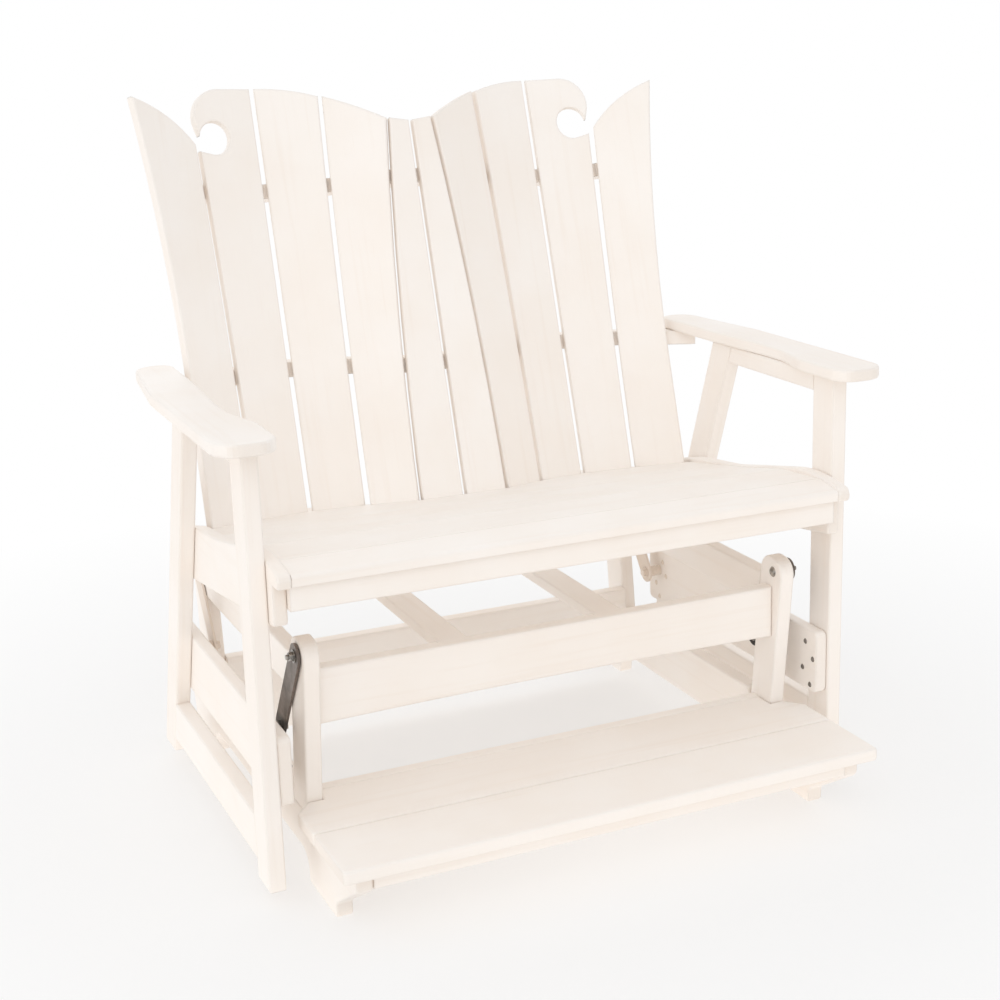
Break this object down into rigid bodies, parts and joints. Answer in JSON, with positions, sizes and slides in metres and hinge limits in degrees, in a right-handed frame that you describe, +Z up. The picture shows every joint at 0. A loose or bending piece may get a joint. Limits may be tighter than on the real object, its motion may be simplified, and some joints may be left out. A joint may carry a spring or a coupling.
{
  "type": "counter height glider",
  "caption": "Counter-height glider bench: a seat frame with arms and a fan of curled back slats swings on steel links hung from the posts of a floor base with a footrest.",
  "frame": {"origin": "on the floor under the middle of the bench, half-way from the footrest's front to the rails' tails", "axes": "+Z up, front towards -Y, +X towards the right seen from the front"},
  "size_m": [1.328, 1.156, 1.41],
  "materials": {
    "frame_board": "satin",
    "slat_board": "satin",
    "link_steel": "satin",
    "zinc_hardware": "satin"
  },
  "bodies": {
    "base": {"base_rail_left": "frame_board", "base_rail_right": "frame_board", "base_post_front_left": "frame_board", "base_post_front_right": "frame_board", "base_post_rear_left": "frame_board", "base_post_rear_right": "frame_board", "base_side_rail_left": "frame_board", "base_side_rail_right": "frame_board", "base_stretcher_front": "frame_board", "base_stretcher_rear": "frame_board", "base_stretcher_low": "frame_board", "base_crosspiece_left": "frame_board", "base_crosspiece_right": "frame_board", "footrest_slat_front": "slat_board", "footrest_slat_rear": "slat_board", "footrest_back_board": "frame_board", "footrest_front_board": "frame_board", "upper_pivot_bolts": "zinc_hardware"},
    "link_front_left": {"link_front_left": "link_steel"},
    "link_front_right": {"link_front_right": "link_steel"},
    "link_rear_left": {"link_rear_left": "link_steel"},
    "link_rear_right": {"link_rear_right": "link_steel"},
    "seat_frame": {"lower_pivot_bolts": "zinc_hardware", "lower_pivot_spacers": "zinc_hardware", "leg_front_left": "frame_board", "leg_front_right": "frame_board", "leg_rear_left": "frame_board", "leg_rear_right": "frame_board", "low_rail_left": "frame_board", "low_rail_right": "frame_board", "arm_rail_left": "frame_board", "arm_rail_right": "frame_board", "hanger_board_left": "frame_board", "hanger_board_right": "frame_board", "hanger_screws": "zinc_hardware", "arm_left": "slat_board", "arm_right": "slat_board", "seat_side_left": "slat_board", "seat_side_right": "slat_board", "seat_slat_nose": "slat_board", "seat_slat_1": "slat_board", "seat_slat_2": "slat_board", "seat_slat_3": "slat_board", "seat_slat_rear": "slat_board", "seat_apron": "frame_board", "seat_cleats": "frame_board", "seat_batten": "frame_board", "back_slat_left_1": "slat_board", "back_slat_left_2": "slat_board", "back_slat_left_3": "slat_board", "back_slat_left_4": "slat_board", "back_slat_left_5": "slat_board", "back_slat_right_1": "slat_board", "back_slat_right_2": "slat_board", "back_slat_right_3": "slat_board", "back_slat_right_4": "slat_board", "back_slat_right_5": "slat_board", "back_rail_lower": "frame_board", "back_rail_middle": "frame_board", "back_rail_upper": "frame_board"}
  },
  "joints": [
    {"name": "glide_front_left", "type": "hinge", "parent": "base", "child": "link_front_left", "pos_m": [-0.518, -0.283, 0.45], "axis": [1, 0, 0], "range_deg": [-8, 8]},
    {"name": "glide_front_right", "type": "hinge", "parent": "base", "child": "link_front_right", "pos_m": [0.518, -0.283, 0.45], "axis": [1, 0, 0], "range_deg": [-8.1, 8.1]},
    {"name": "glide_rear_left", "type": "hinge", "parent": "base", "child": "link_rear_left", "pos_m": [-0.518, 0.463, 0.45], "axis": [1, 0, 0], "range_deg": [-8.25, 8.25]},
    {"name": "glide_rear_right", "type": "hinge", "parent": "base", "child": "link_rear_right", "pos_m": [0.518, 0.463, 0.45], "axis": [1, 0, 0], "range_deg": [-8.25, 8.25]},
    {"name": "seat_swing", "type": "hinge", "parent": "link_front_left", "child": "seat_frame", "pos_m": [-0.518, -0.15567, 0.26815], "axis": [1, 0, 0], "range_deg": [-12.3, 12.3]}
  ],
  "couplings": [
    {"joint": "glide_front_right", "follows": "glide_front_left", "ratio": 1},
    {"joint": "glide_rear_left", "follows": "glide_front_left", "ratio": 1.0194},
    {"joint": "glide_rear_right", "follows": "glide_front_left", "ratio": 1.0194},
    {"joint": "seat_swing", "follows": "glide_front_left", "ratio": -1.5279}
  ]
}
